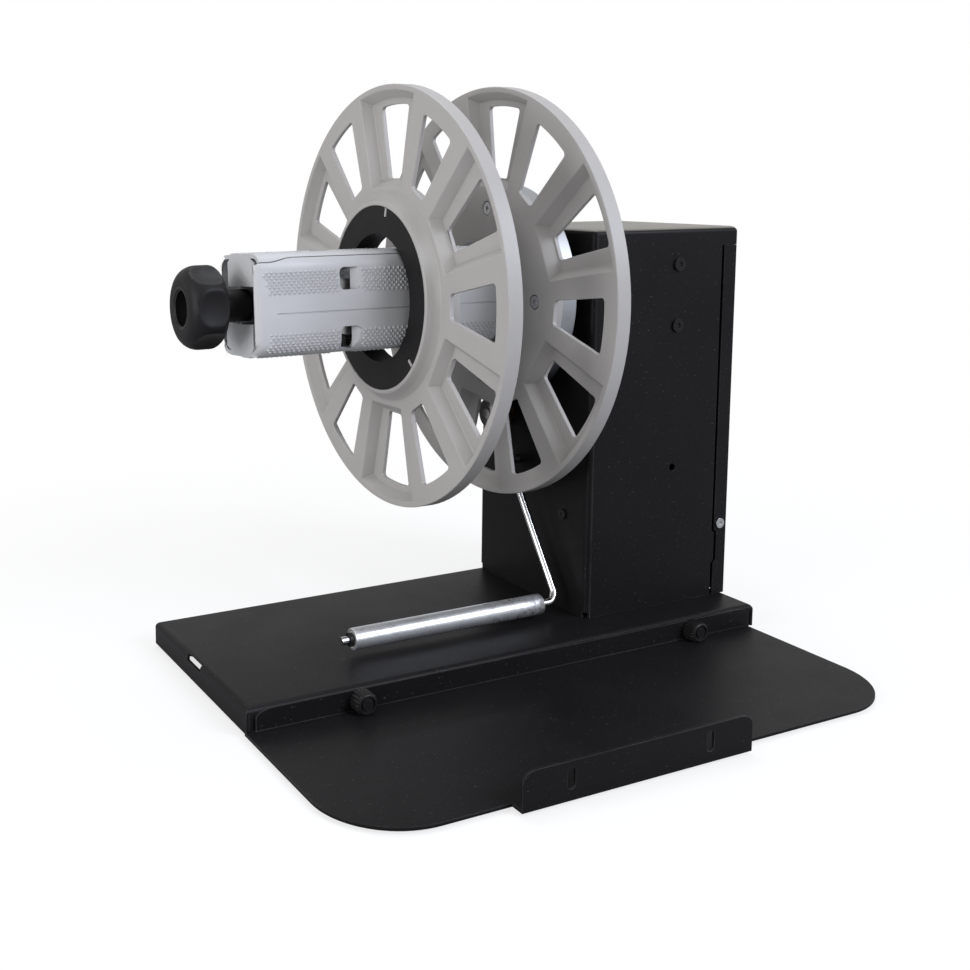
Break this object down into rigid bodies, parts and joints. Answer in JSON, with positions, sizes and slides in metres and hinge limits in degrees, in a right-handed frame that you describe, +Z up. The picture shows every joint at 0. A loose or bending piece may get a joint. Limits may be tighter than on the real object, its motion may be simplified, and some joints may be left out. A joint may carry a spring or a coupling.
{
  "type": "label rewinder",
  "caption": "Desktop rewinder: a motor tower on a folded base turns an expanding core holder between two spoked flanges, with a dancer arm and roller guiding the web.",
  "frame": {"origin": "centre of the bounding box's bottom face, on the floor", "axes": "+X along the spindle towards the tower, +Y away from the operator, +Z up"},
  "size_m": [0.3124, 0.3038, 0.2922],
  "materials": {
    "sheet_black": "satin black powder coat, finely textured",
    "moulded_grey": "warm light grey moulded plastic",
    "jaw_grey": "cool light grey moulded plastic, knurled in bands",
    "knob_black": "soft black plastic",
    "steel": "brushed steel",
    "rod_steel": "bright plated steel rod",
    "roller_steel": "ground steel tube, lightly stained",
    "black_screw": "blackened steel",
    "rubber": "black rubber",
    "alloy": "turned aluminium",
    "bronze": "sintered bronze",
    "board": "green lacquered laminate",
    "component": "moulded black component plastic",
    "bush_white": "natural nylon",
    "panel_black": "glossy black plastic"
  },
  "bodies": {
    "machine": {"base_tray": "sheet_black", "tall_feet": "rubber", "front_plate": "sheet_black", "plate_pads": "rubber", "clinch_nuts": "steel", "tower_shell": "sheet_black", "rear_cover": "sheet_black", "cover_screws": "steel", "bracket_screws": "black_screw", "board_screws": "black_screw", "foot_screws": "steel", "housing_screws": "black_screw", "bearing_housing": "alloy", "bearing_outer": "steel", "motor_bracket": "steel", "gearbox": "steel", "motor_can": "steel", "gearbox_screws": "black_screw", "control_board": "board", "board_parts": "component", "arm_sensor": "component", "arm_bush": "bronze", "arm_stop": "steel", "switch_body": "panel_black", "power_inlet": "panel_black", "dial_sensor": "component"},
    "spindle": {"spindle_shaft": "steel", "bearing_inner": "steel", "shaft_coupler": "alloy", "hub_disc": "alloy", "rear_flange": "moulded_grey", "flange_screws": "steel", "jaw_carrier": "alloy", "carrier_screws": "black_screw", "lead_bushes": "bronze"},
    "hand_knob": {"knob": "knob_black", "lead_screw": "steel"},
    "wedges": {"wedge_sleeves": "steel", "draw_nuts": "bronze", "draw_pins": "steel"},
    "near_jaw": {"jaw_near": "jaw_grey"},
    "top_jaw": {"jaw_top": "jaw_grey"},
    "far_jaw": {"jaw_far": "jaw_grey"},
    "bottom_jaw": {"jaw_bottom": "jaw_grey"},
    "loose_flange": {"front_flange": "moulded_grey", "adapter_ring": "knob_black"},
    "arm": {"dancer_arm": "rod_steel", "arm_shaft": "steel", "roller_clip": "black_screw"},
    "roller": {"roller_tube": "roller_steel", "roller_bushes": "bush_white"},
    "left_thumb_screw": {"thumb_screw_left": "black_screw"},
    "right_thumb_screw": {"thumb_screw_right": "black_screw"},
    "switch_rocker": {"rocker": "panel_black"},
    "dial": {"tension_dial": "knob_black"}
  },
  "joints": [
    {"name": "spindle_spin", "type": "hinge", "parent": "machine", "child": "spindle", "pos_m": [0.02838, 0.0419, 0.1822], "axis": [1, 0, 0], "continuous": true},
    {"name": "knob_turn", "type": "hinge", "parent": "spindle", "child": "hand_knob", "pos_m": [-0.13162, 0.0419, 0.1822], "axis": [-1, 0, 0], "range_deg": [0, 180]},
    {"name": "wedge_slide", "type": "slide", "parent": "spindle", "child": "wedges", "axis": [-1, 0, 0], "range_m": [0, 0.0025]},
    {"name": "near_jaw_slide", "type": "slide", "parent": "spindle", "child": "near_jaw", "axis": [0, -0.9976, 0.0698], "range_m": [0, 0.0005]},
    {"name": "top_jaw_slide", "type": "slide", "parent": "spindle", "child": "top_jaw", "axis": [0, 0.0698, 0.9976], "range_m": [0, 0.0005]},
    {"name": "far_jaw_slide", "type": "slide", "parent": "spindle", "child": "far_jaw", "axis": [0, 0.9976, -0.0698], "range_m": [0, 0.0005]},
    {"name": "bottom_jaw_slide", "type": "slide", "parent": "spindle", "child": "bottom_jaw", "axis": [0, -0.0698, -0.9976], "range_m": [0, 0.0005]},
    {"name": "front_flange_slide", "type": "slide", "parent": "spindle", "child": "loose_flange", "axis": [1, 0, 0], "range_m": [-0.06, 0.048]},
    {"name": "arm_swing", "type": "hinge", "parent": "machine", "child": "arm", "pos_m": [0.03907, 0.0521, 0.1122], "axis": [-1, 0, 0], "range_deg": [0, 50]},
    {"name": "roller_spin", "type": "hinge", "parent": "arm", "child": "roller", "pos_m": [-0.02813, -0.0086, 0.0212], "axis": [1, 0, 0], "continuous": true},
    {"name": "left_thumb_turn", "type": "hinge", "parent": "machine", "child": "left_thumb_screw", "pos_m": [-0.09942, -0.0461, 0.0081], "axis": [0, 1, 0], "continuous": true},
    {"name": "right_thumb_turn", "type": "hinge", "parent": "machine", "child": "right_thumb_screw", "pos_m": [0.09857, -0.0461, 0.0081], "axis": [0, 1, 0], "continuous": true},
    {"name": "rocker_tilt", "type": "hinge", "parent": "machine", "child": "switch_rocker", "pos_m": [0.14308, 0.0069, 0.0595], "axis": [0, 1, 0], "range_deg": [-8, 8]},
    {"name": "dial_turn", "type": "hinge", "parent": "machine", "child": "dial", "pos_m": [0.14838, 0.02815, 0.1055], "axis": [1, 0, 0], "range_deg": [-140, 140]}
  ],
  "couplings": [
    {"joint": "knob_turn", "follows": "wedge_slide", "rad_per_m": 1256.5},
    {"joint": "near_jaw_slide", "follows": "wedge_slide", "ratio": 0.19998},
    {"joint": "top_jaw_slide", "follows": "wedge_slide", "ratio": 0.19998},
    {"joint": "far_jaw_slide", "follows": "wedge_slide", "ratio": 0.19998},
    {"joint": "bottom_jaw_slide", "follows": "wedge_slide", "ratio": 0.19998}
  ]
}
